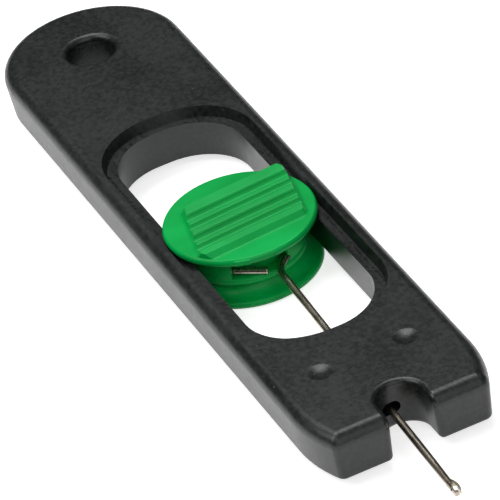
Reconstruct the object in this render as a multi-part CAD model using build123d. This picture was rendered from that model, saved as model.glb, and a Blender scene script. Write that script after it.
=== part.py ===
from build123d import *
import math
import os

# Needle threader: a flat handle with a long slot, a thumb slider that runs in the slot,
# and a hook of spring wire that the slider pushes out through the front end.
#
# Frame: +X runs along the handle to the hook, +Y is across it and +Z is up. The origin is on
# the axis of the lanyard hole, half way through the handle. Lengths are in millimetres.

# ---- driving dimensions -------------------------------------------------------------------

# handle
HANDLE_LENGTH = 80.5
HANDLE_WIDTH = 18.0
HANDLE_THICKNESS = 4.8
HOLE_TO_TAIL = 8.45  # lanyard hole axis to the round tail end
WALL_DRAFT = 4.9  # degrees, the outer walls lean in towards the underside
TOP_ROUND = 1.15
BOTTOM_ROUND = 0.4
FRONT_WIDTH = 15.0  # the sides curve in to this width at the front end
FRONT_CURVE_LENGTH = 6.5  # length of that curve along each side
FRONT_CORNER_ROUND = 0.8

# slot, and the shallow recess round it that the slider's disc lies in
SLOT_LENGTH = 39.25
SLOT_WIDTH = 12.3
SLOT_CORNER = 5.5
SLOT_TO_FRONT = 16.5  # slot's front wall to the handle's front face
SLOT_DRAFT = 3.0  # degrees, the slot widens towards the underside
RECESS_MARGIN = 1.35  # width of the recess round the slot, at the top face
RECESS_DEPTH = 1.0
RECESS_DRAFT = 18.8

# lanyard hole
HOLE_RADIUS = 2.35
HOLE_TOP_ROUND = 0.6
HOLE_BOTTOM_ROUND = 0.3

# notch in the front end, and the bore that leads the wire into it
NOTCH_WIDTH = 4.16
NOTCH_DEPTH = 4.55
NOTCH_DRAFT = 2.0
NOTCH_ROUND = 0.5
BORE_WIDTH = 1.9  # leaves room for the wire's drift over the slider's travel
BORE_HEIGHT = 1.2
BORE_RISE = 0.15  # the bore's axis above the wire's
BORE_OVERRUN = 0.5  # the bore's cutter runs this far past both walls

# two shallow dimples on the top face behind the notch
DIMPLE_RADIUS = 1.1
DIMPLE_DEPTH = 0.2
DIMPLE_RIM_ROUND = 0.7
DIMPLE_TO_FRONT = 9.9
DIMPLE_OFFSET = 4.2

# slider: a thumb disc on a hollow neck that holds the wire loop
SLIDER_TO_FRONT = 36.6  # slider axis to the front face, at rest
SLIDER_TURN = 5.0  # degrees, how far the slider has turned in the slot at rest
DISC_RADIUS = 7.2
DISC_THICKNESS = 0.84
DISC_LIFT = 0.2  # clear of the recess floor
DISC_TOP_INSET = 0.2  # the top edge lies this far inside the disc's widest line
DISC_BOTTOM_INSET = 0.45
DISC_EDGE_ROUND = 0.12
NECK_RADIUS = 5.55
WINDOW_START = -42.0  # degrees round the slider from its front, where both wire ends leave
WINDOW_END = 18.0
CHANNEL_CLEARANCE = 0.1  # from the wire loop to the neck's inner wall
PASSAGE_CLEARANCE = 0.06  # round the shank where it leaves through the neck
WAIST_GRIP = 0.02  # how much the wire loop squeezes the waist, on the radius
PEG_RADIUS = 2.5
PEG_LENGTH = 1.5
GATE_MARK_WIDTH = 1.4
GATE_MARK_HEIGHT = 0.45
GATE_MARK_PROUD = 0.08
GATE_MARK_DROP = 0.14  # top of the mark, below the disc's top
GATE_MARK_ANGLE = -27.0  # degrees round the disc from its front

# thumb grip on the disc: a wedge that falls to the front, with three broad ridges across it
# and a thin bead in each valley; its ends are cut at a slant
GRIP_LENGTH = 10.0  # across the handle
GRIP_WIDTH = 7.2  # along the handle
GRIP_HEIGHT = 0.87  # above the disc's top, half way along the handle
GRIP_FALL = 5.5  # degrees, towards the front
GRIP_SLANT = 15.5  # degrees between the grip's ends and square to its ridges
GRIP_SIDE_SHIFT = 0.45  # the grip's middle off the disc's axis, across the handle
GRIP_AHEAD = 0.3  # the grip's middle ahead of the disc's axis
GRIP_REAR_DRAFT = 35.0
GRIP_FRONT_DRAFT = 45.0
GRIP_END_DRAFT = 20.0
GRIP_FOOT_ROUND = 0.4
GRIP_ROOT = 0.3  # depth that the grip's solid reaches into the disc
GRIP_CROWN = 0.05  # stock above the ridges, which the grooves' cutter trims off
RIDGE_PITCH = 2.95
RIDGE_AHEAD = 0.5  # the middle ridge ahead of the disc's axis
GROOVE_RADIUS = 0.42
BEAD_OFFSET = 0.62  # from the middle of a valley's thin bead to the grooves beside it
BEAD_DROP = 0.14  # the thin beads stand this much lower than the ridges
RIDGE_ROUND = 0.3
BEAD_ROUND = 0.12
GRIP_EDGE_ROUND = 0.3
GRIP_CORNER_ROUND = 0.5

# retainer that snaps on the slider's peg and closes the neck from below
LIP_RADIUS = 5.65
LIP_HEIGHT = 0.8
LIP_ROUND = 0.3
FLARE_TOP_RADIUS = 5.15
FLARE_RADIUS = 6.6
FLANGE_RADIUS = 7.0
FLANGE_THICKNESS = 0.68
FLANGE_GAP = 0.12  # under the handle
FLANGE_ROUND = 0.32

# hook wire
WIRE_RADIUS = 0.36
WIRE_Z = -0.4  # height of the wire's axis
WIRE_SEAT_GAP = 0.02  # over the retainer
LOOP_RADIUS = 4.7  # wire axis, round the slider's waist
LOOP_START = 48.0  # degrees round the slider from +X, where the wire leaves for the hook
LOOP_END = -38.0  # degrees, where the loop's free end leaves the waist
FREE_END_LENGTH = 3.4
BEND_RADIUS = 2.6  # of the bend that turns the wire forwards
SHANK_SLOPE = -0.036  # the wire drifts this much towards -Y per millimetre forward
SHANK_CROSSING = 13.0  # the wire crosses the middle plane this far behind the front face
TIP_REACH = 9.8  # hook tip ahead of the front face, at rest
SHANK_TAPER_LENGTH = 3.2
SHANK_END_RADIUS = 0.32
WIRE_END_ROUND = 0.08

# hook head, flattened out of the wire's end, measured along the wire and across it
HEAD_LENGTH = 2.0
HEAD_THICKNESS = 0.38
HEAD_BULGE = 0.49  # the thick prong's outer side
HEAD_BULGE_START = 0.5
HEAD_SIDE = 0.31  # the outer sides where the head begins
CURL_SIDE = 0.22  # the end of the thin prong
TIP_SIDE = 0.36  # the pointed end of the thick prong
SCARF_LENGTH = 1.2  # the round wire ends in a slanting cut as long as this
CURL_ROUND = 0.12
EYE_LENGTH = 1.1
EYE_WIDTH = 0.37
EYE_CENTRE = 1.1  # along the head
EYE_SIDE = 0.15
EYE_LEAN = -8.0  # degrees
MOUTH_WIDTH = 0.16
MOUTH_LEAN = 6.0  # degrees

# ---- worked out from them -----------------------------------------------------------------

TOP = HANDLE_THICKNESS / 2
UNDERSIDE = -TOP
TAIL_X = -HOLE_TO_TAIL
FRONT_X = TAIL_X + HANDLE_LENGTH
HALF_WIDTH = HANDLE_WIDTH / 2
TOLERANCE = 0.01  # for finding an edge by its place
UPRIGHT = 0.9  # the rise of an upright edge, as a share of its length
LEANING = 0.5  # the same for a corner between two drafted walls

SLOT_FRONT_X = FRONT_X - SLOT_TO_FRONT
SLOT_CENTRE_X = SLOT_FRONT_X - SLOT_LENGTH / 2
LEDGE_Z = TOP - RECESS_DEPTH
SLIDER_X = FRONT_X - SLIDER_TO_FRONT

DISC_BOTTOM = LEDGE_Z + DISC_LIFT
DISC_TOP = DISC_BOTTOM + DISC_THICKNESS
DISC_TOP_RADIUS = DISC_RADIUS - DISC_TOP_INSET
WAIST_RADIUS = LOOP_RADIUS - WIRE_RADIUS + WAIST_GRIP
CHANNEL_RADIUS = LOOP_RADIUS + WIRE_RADIUS + CHANNEL_CLEARANCE
SEAT_Z = WIRE_Z - WIRE_RADIUS - WIRE_SEAT_GAP
PEG_BOTTOM = SEAT_Z - PEG_LENGTH
LIP_BOTTOM = SEAT_Z - LIP_HEIGHT
FLANGE_TOP = UNDERSIDE - FLANGE_GAP
FLANGE_BOTTOM = FLANGE_TOP - FLANGE_THICKNESS


def rounded_block(length, width, corner, top, depth, draft):
    """A rounded rectangle sunk from z = top, its walls leaning in by draft degrees."""
    outline = Pos(SLOT_CENTRE_X, 0, top) * RectangleRounded(length, width, corner)
    return extrude(outline, amount=depth, dir=(0, 0, -1), taper=draft)


# ---- handle -------------------------------------------------------------------------------


def handle_outline():
    """Plan of the handle: straight sides, a half-round tail and eased front corners."""
    half_front = FRONT_WIDTH / 2
    narrowing = HALF_WIDTH - half_front
    curve_radius = (FRONT_CURVE_LENGTH**2 + narrowing**2) / (2 * narrowing)
    curve_x = FRONT_X - FRONT_CURVE_LENGTH
    middle = math.asin(FRONT_CURVE_LENGTH / curve_radius) / 2
    curve_middle = (
        curve_x + curve_radius * math.sin(middle),
        HALF_WIDTH - curve_radius * (1 - math.cos(middle)),
    )
    tail_centre_x = TAIL_X + HALF_WIDTH

    left_side = Line((tail_centre_x, HALF_WIDTH), (curve_x, HALF_WIDTH))
    left_curve = ThreePointArc((curve_x, HALF_WIDTH), curve_middle, (FRONT_X, half_front))
    front = Line((FRONT_X, half_front), (FRONT_X, -half_front))
    tail = ThreePointArc(
        (tail_centre_x, HALF_WIDTH), (TAIL_X, 0), (tail_centre_x, -HALF_WIDTH)
    )
    right_side = mirror(left_side, about=Plane.XZ)
    right_curve = mirror(left_curve, about=Plane.XZ)
    return make_face([left_side, left_curve, front, right_curve, right_side, tail])


def handle_block():
    """The handle before it is cut: drafted walls with the outer edges rounded."""
    outline = Pos(0, 0, TOP) * handle_outline()
    block = extrude(outline, amount=HANDLE_THICKNESS, dir=(0, 0, -1), taper=WALL_DRAFT)
    corners = block.edges().filter_by(lambda e: abs(e.tangent_at(0.5).Z) > UPRIGHT)
    front_corners = corners.filter_by(lambda e: e.center().X > FRONT_X - FRONT_CORNER_ROUND)
    block = fillet(front_corners, FRONT_CORNER_ROUND)
    block = fillet(block.faces().sort_by(Axis.Z)[-1].edges(), TOP_ROUND)
    return fillet(block.faces().sort_by(Axis.Z)[0].edges(), BOTTOM_ROUND)


def notch_cutter():
    """Round-ended notch through the front end."""
    radius = NOTCH_WIDTH / 2
    centre_x = FRONT_X - NOTCH_DEPTH + radius
    outline = Pos(centre_x, 0, TOP) * Circle(radius)
    outline += Pos(centre_x + NOTCH_DEPTH / 2, 0, TOP) * Rectangle(NOTCH_DEPTH, NOTCH_WIDTH)
    return extrude(outline, amount=HANDLE_THICKNESS, dir=(0, 0, -1), taper=-NOTCH_DRAFT)


def round_notch(handle):
    """Ease the notch's edge, all the way round: both rims and the two mouth corners."""
    rim = handle.edges().filter_by(
        lambda e: e.center().X > FRONT_X - NOTCH_DEPTH - TOLERANCE
        and abs(e.center().Y) < NOTCH_WIDTH / 2 + TOLERANCE
        and e.center().Z > TOP - TOLERANCE
    )
    return fillet(rim, NOTCH_ROUND)


def wire_bore():
    """Bore from the slot to the notch, along the wire's own line."""
    along, across = shank_directions()
    start = shank_point(SLOT_FRONT_X - BORE_OVERRUN)
    length = SLOT_TO_FRONT - NOTCH_DEPTH + 2 * BORE_OVERRUN
    plane = Plane(origin=(start.X, start.Y, WIRE_Z + BORE_RISE), x_dir=across, z_dir=along)
    return extrude(plane * SlotOverall(BORE_WIDTH, BORE_HEIGHT), amount=length)


def dimple_the_top(handle, side):
    """Sink one shallow dimple into the top face and ease its rim."""
    ball_radius = (DIMPLE_RADIUS**2 + DIMPLE_DEPTH**2) / (2 * DIMPLE_DEPTH)
    place = Pos(FRONT_X - DIMPLE_TO_FRONT, side * DIMPLE_OFFSET, TOP - DIMPLE_DEPTH + ball_radius)
    handle -= place * Sphere(ball_radius)
    rims = handle.edges().filter_by(GeomType.CIRCLE)
    rim = rims.filter_by(lambda e: abs(e.radius - DIMPLE_RADIUS) < TOLERANCE)
    return fillet(rim.sort_by(Axis.Y)[-1 if side > 0 else 0], DIMPLE_RIM_ROUND)


def hole_rims(handle):
    """The lanyard hole's rims, the lower one first."""
    rims = handle.edges().filter_by(GeomType.CIRCLE)
    rims = rims.filter_by(lambda e: abs(e.radius - HOLE_RADIUS) < TOLERANCE)
    return rims.filter_by(lambda e: abs(e.arc_center.X) < TOLERANCE).sort_by(Axis.Z)


def make_handle():
    handle = round_notch(handle_block() - notch_cutter())

    recess_length = SLOT_LENGTH + 2 * RECESS_MARGIN
    recess_width = SLOT_WIDTH + 2 * RECESS_MARGIN
    recess_corner = SLOT_CORNER + RECESS_MARGIN
    handle -= rounded_block(
        recess_length, recess_width, recess_corner, TOP, RECESS_DEPTH, RECESS_DRAFT
    )
    slot_depth = HANDLE_THICKNESS - RECESS_DEPTH
    handle -= rounded_block(
        SLOT_LENGTH, SLOT_WIDTH, SLOT_CORNER, LEDGE_Z, slot_depth, -SLOT_DRAFT
    )
    handle -= wire_bore()

    handle -= Cylinder(HOLE_RADIUS, HANDLE_THICKNESS)
    handle = fillet(hole_rims(handle)[-1], HOLE_TOP_ROUND)
    handle = fillet(hole_rims(handle)[0], HOLE_BOTTOM_ROUND)

    handle = dimple_the_top(handle, 1)
    return dimple_the_top(handle, -1)


# ---- slider -------------------------------------------------------------------------------


def slider_place():
    """The slider's own frame: its axis is upright, turned a little in the slot."""
    return Pos(SLIDER_X, 0, 0) * Rot(0, 0, SLIDER_TURN)


def slider_turning():
    """Disc, waist and peg, turned round the slider's axis."""
    bottom_radius = DISC_RADIUS - DISC_BOTTOM_INSET
    side = ThreePointArc(
        (bottom_radius, DISC_BOTTOM),
        (DISC_RADIUS, (DISC_BOTTOM + DISC_TOP) / 2),
        (DISC_TOP_RADIUS, DISC_TOP),
    )
    rest = Polyline(
        (DISC_TOP_RADIUS, DISC_TOP),
        (0, DISC_TOP),
        (0, PEG_BOTTOM),
        (PEG_RADIUS, PEG_BOTTOM),
        (PEG_RADIUS, SEAT_Z),
        (WAIST_RADIUS, SEAT_Z),
        (WAIST_RADIUS, DISC_BOTTOM),
        (bottom_radius, DISC_BOTTOM),
    )
    section = make_face([side, rest])
    top_edge = section.vertices().filter_by(lambda v: v.X > WAIST_RADIUS).sort_by(Axis.Y)[-1]
    section = fillet(top_edge, DISC_EDGE_ROUND)
    return revolve(Plane.XZ * section, axis=Axis.Z)


def window():
    """Sector that is open in the neck, where both ends of the wire come out."""
    reach = 2 * NECK_RADIUS
    first = math.radians(WINDOW_START)
    last = math.radians(WINDOW_END)
    corners = Polyline(
        (0, 0),
        (reach * math.cos(first), reach * math.sin(first)),
        (reach * math.cos(last), reach * math.sin(last)),
        close=True,
    )
    sector = Pos(0, 0, SEAT_Z) * make_face(corners)
    return extrude(sector, amount=DISC_BOTTOM - SEAT_Z)


def neck():
    """Thin wall under the disc, round the wire loop, placed in the handle's frame."""
    height = DISC_BOTTOM - SEAT_Z
    wall = Cylinder(NECK_RADIUS, height) - Cylinder(CHANNEL_RADIUS, height)
    wall = Pos(0, 0, SEAT_Z + height / 2) * wall
    wall = slider_place() * (wall - window())
    return wall - swept_wire(shank_path(), WIRE_RADIUS + PASSAGE_CLEARANCE)


def grip_top(x):
    """Height of the ridges' tops, a distance x ahead of the slider's axis."""
    return DISC_TOP + GRIP_HEIGHT - x * math.tan(math.radians(GRIP_FALL))


def grip_hump():
    """Side view of the grip before its grooves are cut, drawn across the handle."""
    floor = DISC_TOP - GRIP_ROOT
    rear_x = GRIP_AHEAD - GRIP_WIDTH / 2
    front_x = GRIP_AHEAD + GRIP_WIDTH / 2
    rear_foot = (grip_top(rear_x) - floor) * math.tan(math.radians(GRIP_REAR_DRAFT))
    front_foot = (grip_top(front_x) - floor) * math.tan(math.radians(GRIP_FRONT_DRAFT))
    outline = Polyline(
        (rear_x - rear_foot, floor),
        (rear_x, grip_top(rear_x) + GRIP_CROWN),
        (front_x, grip_top(front_x) + GRIP_CROWN),
        (front_x + front_foot, floor),
        close=True,
    )
    return extrude(Plane.XZ * make_face(outline), amount=GRIP_LENGTH, both=True)


def grip_plan():
    """Plan of the grip, longer than the hump, its ends cut at a slant."""
    half_length = GRIP_LENGTH / 2
    lean = GRIP_WIDTH * math.tan(math.radians(GRIP_SLANT))
    corners = Polyline(
        (-GRIP_WIDTH, lean + half_length),
        (-GRIP_WIDTH, lean - half_length),
        (GRIP_WIDTH, -lean - half_length),
        (GRIP_WIDTH, -lean + half_length),
        close=True,
    )
    return Pos(0, GRIP_SIDE_SHIFT) * make_face(corners)


def grooves():
    """Two grooves and a lowered bead in each valley, as a cutter along the ridges."""
    cutter = Sketch()
    for valley in (-RIDGE_PITCH / 2, RIDGE_PITCH / 2):
        cutter += Pos(valley, 0) * Rectangle(2 * BEAD_OFFSET, 2 * BEAD_DROP)
        for side in (-BEAD_OFFSET, BEAD_OFFSET):
            cutter += Pos(valley + side, 0) * Circle(GROOVE_RADIUS)
    top = Pos(0, GRIP_WIDTH / 2) * Rectangle(2 * GRIP_WIDTH, GRIP_WIDTH)
    wave = cutter + top
    ridge_edges = wave.vertices().filter_by(lambda v: abs(v.Y) < TOLERANCE and abs(v.X) < GRIP_WIDTH)
    wave = fillet(ridge_edges, RIDGE_ROUND)
    bead_edges = wave.vertices().filter_by(lambda v: abs(v.Y + BEAD_DROP) < TOLERANCE)
    wave = fillet(bead_edges, BEAD_ROUND)
    place = Plane(
        origin=(RIDGE_AHEAD, 0, grip_top(RIDGE_AHEAD)), x_dir=(1, 0, 0), z_dir=(0, -1, 0)
    ) * Rot(0, 0, -GRIP_FALL)
    return extrude(place * wave, amount=GRIP_LENGTH, both=True)


def grip_block():
    """The grip before its grooves are cut."""
    floor = DISC_TOP - GRIP_ROOT
    height = grip_top(-GRIP_WIDTH) - floor
    top_plan = Pos(0, 0, floor + height) * grip_plan()
    block = grip_hump() & extrude(top_plan, amount=height, dir=(0, 0, -1), taper=-GRIP_END_DRAFT)
    corners = block.edges().filter_by(lambda e: abs(e.tangent_at(0.5).Z) > LEANING)
    block = fillet(corners, GRIP_CORNER_ROUND)
    return fillet(block.faces().sort_by(Axis.Z)[-1].edges(), GRIP_EDGE_ROUND)


def ridged_top():
    """The grip on a slab as thick as its root: foot eased, grooves cut, kept inside the disc."""
    slab = Pos(0, 0, DISC_TOP - GRIP_ROOT / 2) * Cylinder(2 * DISC_RADIUS, GRIP_ROOT)
    top = slab + grip_block()
    foot = top.edges().filter_by(
        lambda e: abs(e.center().Z - DISC_TOP) < TOLERANCE and e.length < 2 * GRIP_LENGTH
    )
    top = fillet(foot, GRIP_FOOT_ROUND) - grooves()
    return top & Pos(0, 0, DISC_TOP) * Cylinder(DISC_TOP_RADIUS - DISC_EDGE_ROUND, GRIP_WIDTH)


def gate_mark():
    """Small square pad, left by the moulding gate on the disc's side."""
    depth = DISC_BOTTOM_INSET
    centre_x = DISC_RADIUS - depth / 2 + GATE_MARK_PROUD
    centre_z = DISC_TOP - GATE_MARK_DROP - GATE_MARK_HEIGHT / 2
    pad = Pos(centre_x, 0, centre_z) * Box(depth, GATE_MARK_WIDTH, GATE_MARK_HEIGHT)
    return Rot(0, 0, GATE_MARK_ANGLE) * pad


def make_thumb_slider():
    return slider_place() * (slider_turning() + ridged_top() + gate_mark()) + neck()


def make_retainer():
    """Cap snapped on the slider's peg; its flange is wider than the slot."""
    quarter = math.radians(45)
    flare_width = FLARE_RADIUS - FLARE_TOP_RADIUS
    flare_bend = (
        FLARE_TOP_RADIUS + flare_width * (1 - math.cos(quarter)),
        LIP_BOTTOM - (LIP_BOTTOM - FLANGE_TOP) * math.sin(quarter),
    )
    flare = ThreePointArc(
        (FLARE_TOP_RADIUS, LIP_BOTTOM), flare_bend, (FLARE_RADIUS, FLANGE_TOP)
    )
    rest = Polyline(
        (FLARE_RADIUS, FLANGE_TOP),
        (FLANGE_RADIUS, FLANGE_TOP),
        (FLANGE_RADIUS, FLANGE_BOTTOM),
        (0, FLANGE_BOTTOM),
        (0, PEG_BOTTOM),
        (PEG_RADIUS, PEG_BOTTOM),
        (PEG_RADIUS, SEAT_Z),
        (LIP_RADIUS, SEAT_Z),
        (LIP_RADIUS, LIP_BOTTOM),
        (FLARE_TOP_RADIUS, LIP_BOTTOM),
    )
    section = make_face([flare, rest])
    rim = section.vertices().filter_by(lambda v: v.X > FLANGE_RADIUS - TOLERANCE)
    section = fillet(rim, FLANGE_ROUND)
    lip = section.vertices().filter_by(lambda v: abs(v.X - LIP_RADIUS) < TOLERANCE)
    section = fillet(lip, LIP_ROUND)
    return slider_place() * revolve(Plane.XZ * section, axis=Axis.Z)


# ---- hook wire ----------------------------------------------------------------------------


def on_loop(angle):
    """Point on the loop's axis, an angle in degrees round the slider from +X."""
    turn = math.radians(angle)
    x = SLIDER_X + LOOP_RADIUS * math.cos(turn)
    return Vector(x, LOOP_RADIUS * math.sin(turn), WIRE_Z)


def shank_directions():
    """Unit vectors along the shank, forwards, and square to it, towards +Y."""
    along = Vector(1, SHANK_SLOPE).normalized()
    return along, Vector(-along.Y, along.X)


def shank_point(x):
    """Point on the shank's axis at a distance x along the handle."""
    crossing_x = FRONT_X - SHANK_CROSSING
    return Vector(x, SHANK_SLOPE * (x - crossing_x), WIRE_Z)


def head_start():
    """Point on the shank's axis where the hook's head begins."""
    return shank_point(FRONT_X + TIP_REACH - HEAD_LENGTH)


def shank_path():
    """Straight off the loop, round one bend, and the straight shank up to its taper."""
    along, across = shank_directions()
    turn = math.radians(LOOP_START)
    start = on_loop(LOOP_START)
    heading = Vector(math.sin(turn), -math.cos(turn))
    offset = (start - shank_point(start.X)).dot(across)
    corner = start - heading * (offset / heading.dot(across))
    shank_end = head_start() - along * SHANK_TAPER_LENGTH
    return FilletPolyline(start, corner, shank_end, radius=BEND_RADIUS).edges()


def loop_path():
    """The free end and the loop round the slider's waist, up to the bend."""
    leave = on_loop(LOOP_END)
    turn = math.radians(LOOP_END)
    free_end = leave + Vector(-math.sin(turn), math.cos(turn)) * FREE_END_LENGTH
    loop_middle = on_loop((LOOP_START + LOOP_END + 360) / 2)
    return [Line(free_end, leave), ThreePointArc(leave, loop_middle, on_loop(LOOP_START))]


def swept_wire(edges, radius):
    """A round bar along a smooth row of edges."""
    path = Wire(edges)
    section = Plane(origin=path @ 0, z_dir=path % 0) * Circle(radius)
    return sweep(section, path=path)


def head_place():
    """The head's own frame: it begins where the eye's plate does, x along the wire."""
    return Pos(*head_start()) * Rot(0, 0, math.degrees(math.atan(SHANK_SLOPE)))


def tapered_end():
    """The wire's last length, drawn thinner and cut off at a slant beside the eye."""
    back = Plane(origin=(-SHANK_TAPER_LENGTH, 0, 0), z_dir=(1, 0, 0)) * Circle(WIRE_RADIUS)
    front = Plane(origin=(SCARF_LENGTH, 0, 0), z_dir=(1, 0, 0)) * Circle(SHANK_END_RADIUS)
    reach = 2 * SCARF_LENGTH
    waste = Polyline(
        (-SCARF_LENGTH, 3 * HEAD_SIDE),
        (reach, -3 * HEAD_SIDE),
        (reach, 3 * HEAD_SIDE),
        close=True,
    )
    return loft([back, front]) - extrude(make_face(waste), amount=HEAD_LENGTH, both=True)


def head_plate():
    """Plan of the flattened end: a thick pointed prong and a thin curled one."""
    tip = (HEAD_LENGTH, TIP_SIDE)
    thick_side = Spline((0, HEAD_SIDE), (HEAD_BULGE_START, HEAD_BULGE), tip)
    rest = Polyline(tip, (HEAD_LENGTH, -CURL_SIDE), (0, -HEAD_SIDE), (0, HEAD_SIDE))
    plan = make_face([thick_side, rest])
    curl = plan.vertices().filter_by(lambda v: v.X > HEAD_LENGTH / 2 and v.Y < 0)
    return fillet(curl, CURL_ROUND)


def eye_and_mouth():
    """Plan of the hook's eye and of the mouth that opens it at the end."""
    eye = Rot(0, 0, EYE_LEAN) * SlotOverall(EYE_LENGTH, EYE_WIDTH)
    mouth = Rot(0, 0, MOUTH_LEAN) * (Pos(EYE_LENGTH, 0) * Rectangle(2 * EYE_LENGTH, MOUTH_WIDTH))
    return Pos(EYE_CENTRE, EYE_SIDE) * (eye + mouth)


def hook_head():
    """The wire's end, flattened and opened into a hook with an eye."""
    head = tapered_end() + extrude(head_plate(), amount=HEAD_THICKNESS / 2, both=True)
    return head_place() * (head - extrude(eye_and_mouth(), amount=HEAD_LENGTH, both=True))


def make_hook_wire():
    wire = swept_wire([*loop_path(), *shank_path()], WIRE_RADIUS)
    free_end = loop_path()[0] @ 0
    ends = wire.edges().filter_by(GeomType.CIRCLE)
    ends = ends.filter_by(lambda e: e.radius < WIRE_RADIUS + TOLERANCE)
    wire = fillet(ends.sort_by_distance(free_end)[0], WIRE_END_ROUND)
    return wire + hook_head()


PARTS = {
    "handle": make_handle,
    "thumb_slider": make_thumb_slider,
    "slider_retainer": make_retainer,
    "hook_wire": make_hook_wire,
}

if __name__ == "__main__":
    os.makedirs("parts", exist_ok=True)
    for node, make in PARTS.items():
        export_step(make(), f"parts/{node}.step")
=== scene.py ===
# %% [markdown]
# # A needle threader
#
# This tool draws sewing thread through the eye of a needle. A flat black handle has a long slot.
# A green thumb slider runs in the slot, and pushes a hook of spring wire out through the front
# end. The solids are modelled already, at their real size, in metres. This notebook gives them
# their finish and builds the studio round them: a camera, a white table and soft light.

import math

import bpy
from mathutils import Matrix, Vector


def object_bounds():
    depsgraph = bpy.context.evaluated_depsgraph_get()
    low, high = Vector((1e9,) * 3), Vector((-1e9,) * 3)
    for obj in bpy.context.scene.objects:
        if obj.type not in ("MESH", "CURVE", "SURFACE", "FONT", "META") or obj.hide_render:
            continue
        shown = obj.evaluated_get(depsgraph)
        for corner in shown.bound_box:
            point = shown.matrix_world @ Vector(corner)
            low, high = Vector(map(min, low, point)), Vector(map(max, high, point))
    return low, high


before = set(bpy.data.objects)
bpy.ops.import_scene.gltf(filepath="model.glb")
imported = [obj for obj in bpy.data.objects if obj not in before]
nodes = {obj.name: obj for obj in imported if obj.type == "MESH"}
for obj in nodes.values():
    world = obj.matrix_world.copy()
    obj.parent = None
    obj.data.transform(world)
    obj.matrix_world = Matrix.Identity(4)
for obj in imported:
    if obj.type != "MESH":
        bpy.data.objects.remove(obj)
solid_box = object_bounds()
MM = 0.001
print("pieces:", sorted(nodes))
print("size in mm:", [round((high - low) / MM, 2) for low, high in zip(*solid_box)])

# %% [markdown]
# ## Shader maths written as sums
#
# A finish is a net of shader nodes. They could be added one at a time, but then a sum such as
# `0.4 + 0.1 * grain` takes three statements and hides what it means. Here a small class stands
# for a node's output, and Python's operators on it add the Math nodes.

# %% A node's output that can be added and multiplied


class Shade:
    """One output of a node."""

    def __init__(self, finish, socket):
        self.finish = finish
        self.socket = socket

    def maths(self, operation, first, second):
        return self.finish.node("Math", {"operation": operation}, {0: first, 1: second})

    def __add__(self, other):
        return self.maths("ADD", self, other)

    def __radd__(self, other):
        return self.maths("ADD", other, self)

    def __sub__(self, other):
        return self.maths("SUBTRACT", self, other)

    def __rsub__(self, other):
        return self.maths("SUBTRACT", other, self)

    def __mul__(self, other):
        return self.maths("MULTIPLY", self, other)

    def __rmul__(self, other):
        return self.maths("MULTIPLY", other, self)


# %% [markdown]
# ## One way to add every node
#
# Every node but the output comes from one method. It sets the node's settings first, because
# some of them change which sockets there are, and then gives each socket a value or a link. The
# other methods are the steps that several finishes share. Patterns are laid out in the object's
# own coordinates, so they stay where they are on a piece when it moves.

# %% A finish and its patterns


class Finish:
    """A node tree, of a material or of the world, and the ways to add to it."""

    def __init__(self, owner):
        owner.use_nodes = True
        self.owner = owner
        self.tree = owner.node_tree
        self.tree.nodes.clear()

    def node(self, kind, settings, inputs, output=0):
        """Adds a node: its settings first, then the values or links of its sockets."""
        new = self.tree.nodes.new("ShaderNode" + kind)
        for name, value in settings.items():
            setattr(new, name, value)
        for name, value in inputs.items():
            if isinstance(value, Shade):
                self.tree.links.new(value.socket, new.inputs[name])
            else:
                new.inputs[name].default_value = value
        return Shade(self, new.outputs[output])

    def grain(self, size, detail=2.0, stretch=(1, 1, 1)):
        """Soft noise from 0 to 1, with lumps of about a size in metres."""
        place = self.node("TexCoord", {}, {}, output="Object")
        place = self.node("Mapping", {}, {"Vector": place, "Scale": stretch})
        return self.node("TexNoise", {}, {"Vector": place, "Scale": 1 / size, "Detail": detail})

    def height(self):
        """Height on the object, in metres."""
        place = self.node("TexCoord", {}, {}, output="Object")
        return self.node("SeparateXYZ", {}, {"Vector": place}, output="Z")

    def step(self, value, start, end):
        """A mask that goes smoothly from 0 to 1 as a value goes from start to end."""
        settings = {"interpolation_type": "SMOOTHSTEP"}
        return self.node("MapRange", settings, {"Value": value, "From Min": start, "From Max": end})

    def blend(self, mask, first, second):
        """The first colour where the mask is 0 and the second where it is 1."""
        return self.node("Mix", {"data_type": "RGBA"}, {0: mask, 6: first, 7: second}, output=2)

    def done(self, shader):
        """Joins the last shader to the output, and gives the material or the world back."""
        kind = "OutputWorld" if isinstance(self.owner, bpy.types.World) else "OutputMaterial"
        end = self.tree.nodes.new("ShaderNode" + kind)
        self.tree.links.new(shader.socket, end.inputs["Surface"])
        return self.owner

    def bump(self, height, depth):
        """Normals of a surface that rises by depth metres where height goes from 0 to 1."""
        return self.node("Bump", {}, {"Height": height, "Distance": depth})


def new_finish(name):
    return Finish(bpy.data.materials.new(name))


# %% [markdown]
# ## Black moulded plastic
#
# The handle is moulded from black plastic in a mould with a fine, even grain. Seen close to, it
# isn't one black: the grain breaks the light into small patches, the plastic's flow leaves broad
# areas that are a little duller, and fine pale specks of dust lie on it. A flat dark colour would
# look like a hole in the picture. So grain drives the colour, the roughness and the bump
# together, and the specks are noise with all but its peaks cut off. The ledge that the slider
# rubs along is polished in streaks along the handle.

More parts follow.
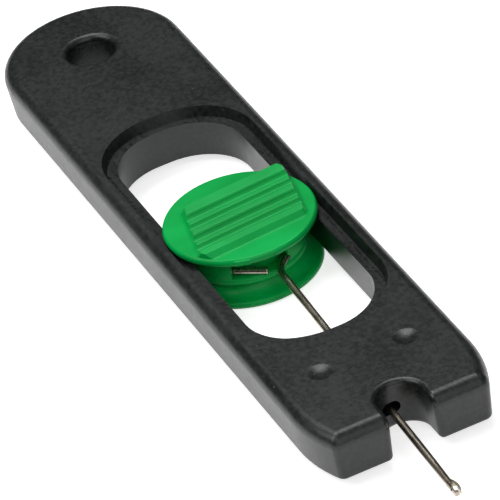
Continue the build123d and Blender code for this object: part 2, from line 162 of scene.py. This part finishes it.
# %% Black plastic
GRAIN = 0.45 * MM
GRAIN_DEPTH = 0.015 * MM
GRAIN_SHARE = 0.7  # of the tone; broad patches give the rest
PATCH = 6 * MM
PATCH_STRETCH = (0.6, 1, 1)  # longer along the handle, as the plastic flowed
TONE_DARK, TONE_PALE = 0.35, 0.65
SPECK = 0.3 * MM
SPECK_EDGE, SPECK_FULL = 0.72, 0.8  # only the noise's peaks
SPECK_COVER = 0.5
STREAK = 0.25 * MM
STREAK_STRETCH = (0.03, 1, 1)
STREAK_EDGE, STREAK_FULL = 0.4, 0.7
LEDGE = 1.4 * MM  # height of the ledge in the part's frame
LEDGE_BAND = 0.1 * MM
BLACK_DEEP = (0.003, 0.004, 0.0038, 1)
BLACK_PALE = (0.016, 0.019, 0.0185, 1)
SPECK_GREY = (0.22, 0.22, 0.22, 1)
BLACK_ROUGHNESS = 0.28
PATCH_DULLS = 0.1
GRAIN_DULLS = 0.06
STREAK_POLISHES = 0.1
PLASTIC_IOR = 1.5


def black_plastic():
    finish = new_finish("black_plastic")
    grain = finish.grain(GRAIN, detail=4.0)
    patch = finish.grain(PATCH, detail=3.0, stretch=PATCH_STRETCH)
    specks = finish.step(finish.grain(SPECK), SPECK_EDGE, SPECK_FULL)
    lines = finish.grain(STREAK, stretch=STREAK_STRETCH)
    streaks = finish.step(lines, STREAK_EDGE, STREAK_FULL)
    below = finish.step(finish.height(), LEDGE - 2 * LEDGE_BAND, LEDGE - LEDGE_BAND)
    above = finish.step(finish.height(), LEDGE + LEDGE_BAND, LEDGE + 2 * LEDGE_BAND)
    on_ledge = below * (1 - above)
    mixed = GRAIN_SHARE * grain + (1 - GRAIN_SHARE) * patch
    tone = finish.step(mixed, TONE_DARK, TONE_PALE)
    colour = finish.blend(tone, BLACK_DEEP, BLACK_PALE)
    colour = finish.blend(specks * SPECK_COVER, colour, SPECK_GREY)
    dulled = BLACK_ROUGHNESS + PATCH_DULLS * patch + GRAIN_DULLS * tone
    roughness = dulled - STREAK_POLISHES * streaks * on_ledge
    surface = finish.node("BsdfPrincipled", {}, {
        "Base Color": colour,
        "Roughness": roughness,
        "Normal": finish.bump(grain, GRAIN_DEPTH),
        "IOR": PLASTIC_IOR,
    })
    return finish.done(surface)


# %% [markdown]
# ## Green moulded plastic
#
# The slider and its retainer are moulded in a bright, glossy green. The mould was polished, so
# the surface is smooth, with a faint ripple where the plastic shrank as it cooled. The colour
# deepens a little in soft flow marks, and thumbs have dulled the gloss in patches. The gloss
# changes slowly over the surface, so one broad noise drives it and a fine one only roughens it.

# %% Green plastic
RIPPLE = 1.6 * MM
RIPPLE_DEPTH = 0.012 * MM
RIPPLE_SHARE = 0.8  # of the bump; dust gives the rest
FLOW = 5 * MM
FLOW_STRETCH = (1, 0.5, 1)
FLOW_DEEP, FLOW_FULL = 0.3, 0.7
DUST = 0.35 * MM
GREEN_DEEP = (0.0, 0.36, 0.062, 1)
GREEN_FULL = (0.0, 0.48, 0.09, 1)
GREEN_ROUGHNESS = 0.2
FLOW_DULLS = 0.16
DUST_DULLS = 0.12
GREEN_GLOSS = 0.22  # below clean plastic's 0.5, which keeps the green deep


def green_plastic():
    finish = new_finish("green_plastic")
    flow = finish.grain(FLOW, detail=3.0, stretch=FLOW_STRETCH)
    ripple = finish.grain(RIPPLE)
    dust = finish.grain(DUST, detail=3.0)
    colour = finish.blend(finish.step(flow, FLOW_DEEP, FLOW_FULL), GREEN_DEEP, GREEN_FULL)
    height = RIPPLE_SHARE * ripple + (1 - RIPPLE_SHARE) * dust
    surface = finish.node("BsdfPrincipled", {}, {
        "Base Color": colour,
        "Roughness": GREEN_ROUGHNESS + FLOW_DULLS * flow + DUST_DULLS * dust,
        "Normal": finish.bump(height, RIPPLE_DEPTH),
        "Specular IOR Level": GREEN_GLOSS,
    })
    return finish.done(surface)


# %% [markdown]
# ## Drawn spring wire
#
# The hook is hard steel wire that was drawn through a die, which leaves fine lines along it. It
# has a warm, slightly browned tone from its heat treatment. The straight part of the wire runs
# along X, so noise that is stretched along X gives the lines there.

# %% Spring wire
DIE_LINE = 0.1 * MM
DIE_LINE_DEPTH = 0.006 * MM
DIE_LINE_STRETCH = (0.04, 1, 1)
TARNISH = 2.2 * MM
TARNISH_SHARE = 0.6  # of the tone; the die's lines give the rest
STEEL_DARK, STEEL_PALE = 0.35, 0.65
STEEL_BROWN = (0.36, 0.31, 0.24, 1)
STEEL_BRIGHT = (0.62, 0.57, 0.48, 1)
STEEL_ROUGHNESS = 0.16
LINES_DULL = 0.16
TARNISH_DULLS = 0.08


def spring_wire():
    finish = new_finish("spring_wire")
    lines = finish.grain(DIE_LINE, detail=3.0, stretch=DIE_LINE_STRETCH)
    tarnish = finish.grain(TARNISH, detail=4.0)
    mixed = TARNISH_SHARE * tarnish + (1 - TARNISH_SHARE) * lines
    tone = finish.step(mixed, STEEL_DARK, STEEL_PALE)
    surface = finish.node("BsdfPrincipled", {}, {
        "Base Color": finish.blend(tone, STEEL_BROWN, STEEL_BRIGHT),
        "Metallic": 1.0,
        "Roughness": STEEL_ROUGHNESS + LINES_DULL * lines + TARNISH_DULLS * tarnish,
        "Normal": finish.bump(lines, DIE_LINE_DEPTH),
    })
    return finish.done(surface)


# %% [markdown]
# ## Dressing the solids
#
# Each solid is one piece of one material, so its finish goes on its whole mesh. The two green
# pieces come from the same plastic and share one finish.

# %% Finishes on the pieces
green = green_plastic()
finishes = {
    "handle": black_plastic(),
    "thumb_slider": green,
    "slider_retainer": green,
    "hook_wire": spring_wire(),
}
for name, material in finishes.items():
    mesh = nodes[name].data
    mesh.materials.clear()
    mesh.materials.append(material)
    print(name, "is dressed in", material.name)

# %% [markdown]
# ## Camera
#
# A long lens from half a metre keeps the handle's sides nearly parallel. The camera looks down
# at the hook's end from a little to the left, and is rolled so that the tool lies across the
# frame from corner to corner. Its axes are built by hand: one points back from the aim to the
# camera, and the other two are turned about it by the roll.

# %% Camera
AIM = Vector((41.13, -1.47, 2.4)) * MM
DISTANCE = 484.57 * MM
AZIMUTH = math.radians(-17.377)
ELEVATION = math.radians(33.980)
ROLL = math.radians(-12.340)
LENS = 386.306  # millimetres, on the default 36 mm sensor
NEAR, FAR = 0.01, 10


def pointing(azimuth, elevation):
    """Unit vector at an angle round from +X and an angle up from the table."""
    level = math.cos(elevation)
    return Vector((level * math.cos(azimuth), level * math.sin(azimuth), math.sin(elevation)))


def look_from(direction, distance, roll=0.0):
    """Matrix of a camera or lamp that looks at the aim from a direction and a distance."""
    right = (-direction).cross(Vector((0, 0, 1))).normalized()
    up = right.cross(-direction)
    rolled_right = math.cos(roll) * right + math.sin(roll) * up
    rolled_up = math.cos(roll) * up - math.sin(roll) * right
    turn = Matrix((rolled_right, rolled_up, direction)).transposed()
    return Matrix.Translation(AIM + distance * direction) @ turn.to_4x4()


camera_data = bpy.data.cameras.new("camera")
camera_data.lens = LENS
camera_data.clip_start = NEAR
camera_data.clip_end = FAR
camera = bpy.data.objects.new("camera", camera_data)
bpy.context.collection.objects.link(camera)
camera.matrix_world = look_from(pointing(AZIMUTH, ELEVATION), DISTANCE, ROLL)
bpy.context.scene.camera = camera
print("camera at", [round(value / MM) for value in camera.matrix_world.translation], "mm")

# %% [markdown]
# ## White table
#
# The tool lies on a white table. The table is matt, so it takes the tool's shadow, and it glows
# for the camera and in reflections, so that it shows white without brightening the tool's own
# colours. It lies a hair below the lowest face, because two faces in one plane would show

# %% Table
TABLE_SIZE = 6
TABLE_GAP = 0.05 * MM
TABLE_GLOW = 0.7
TABLE_WHITE = (0.8, 0.8, 0.8, 1)
GLOW_WHITE = (1, 1, 1, 1)
TABLE_ROUGHNESS = 0.9
TABLE_GLOSS = 0.1


def table_white():
    finish = new_finish("table_white")
    to_camera = finish.node("LightPath", {}, {}, output="Is Camera Ray")
    to_gloss = finish.node("LightPath", {}, {}, output="Is Glossy Ray")
    to_glass = finish.node("LightPath", {}, {}, output="Is Transmission Ray")
    surface = finish.node("BsdfPrincipled", {}, {
        "Base Color": TABLE_WHITE,
        "Roughness": TABLE_ROUGHNESS,
        "Specular IOR Level": TABLE_GLOSS,
        "Emission Color": GLOW_WHITE,
        "Emission Strength": TABLE_GLOW * (to_camera + to_gloss + to_glass),
    })
    return finish.done(surface)


bpy.ops.object.select_all(action="DESELECT")
table_top = (AIM.x, AIM.y, solid_box[0][2] - TABLE_GAP)
bpy.ops.mesh.primitive_plane_add(size=TABLE_SIZE, location=table_top)
table = bpy.context.object
table.name = "table"
table.data.materials.append(table_white())
print("table at z =", round(table_top[2] / MM, 2), "mm")

# %% [markdown]
# ## Soft light
#
# Black and green gloss show what stands round them more than the light that falls on them. So
# the room is a soft gradient: dark from the table up to the height that the top faces mirror to
# the camera, and brighter from there to overhead. A softbox behind and above gives the ridges on
# the grip their light and dark sides and draws a pale line along each rounded edge. A second
# one, on the left, lights the colours without a mirror image of itself, and a third fills from
# the front.

# %% Room and lamps
ROOM_LOW = (0.08, 0.08, 0.08, 1)
ROOM_HIGH = (0.4, 0.4, 0.4, 1)
LOW_ENDS, HIGH_STARTS = 0.55, 1.0  # heights on a sphere with a radius of 1


def studio_room():
    room = Finish(bpy.data.worlds.new("studio_room"))
    direction = room.node("TexCoord", {}, {}, output="Generated")
    height = room.node("SeparateXYZ", {}, {"Vector": direction}, output="Z")
    light = room.blend(room.step(height, LOW_ENDS, HIGH_STARTS), ROOM_LOW, ROOM_HIGH)
    return room.done(room.node("Background", {}, {"Color": light}))


def softbox(name, azimuth, elevation, distance, size, power):
    data = bpy.data.lights.new(name, "AREA")
    data.size = size
    data.energy = power
    lamp = bpy.data.objects.new(name, data)
    bpy.context.collection.objects.link(lamp)
    direction = pointing(math.radians(azimuth), math.radians(elevation))
    lamp.matrix_world = look_from(direction, distance)
    print(name, "gives", power, "W from", distance, "m")


# name, degrees round from +X, degrees up, metres away, metres wide, watts
SOFTBOXES = [
    ("rear_softbox", 172, 66, 0.8, 0.4, 2.8),
    ("left_softbox", -100, 50, 0.8, 0.5, 2.6),
    ("front_softbox", 0, 33, 0.9, 0.8, 2.2),
]
for row in SOFTBOXES:
    softbox(*row)
bpy.context.scene.world = studio_room()
bpy.context.scene.view_settings.view_transform = "Standard"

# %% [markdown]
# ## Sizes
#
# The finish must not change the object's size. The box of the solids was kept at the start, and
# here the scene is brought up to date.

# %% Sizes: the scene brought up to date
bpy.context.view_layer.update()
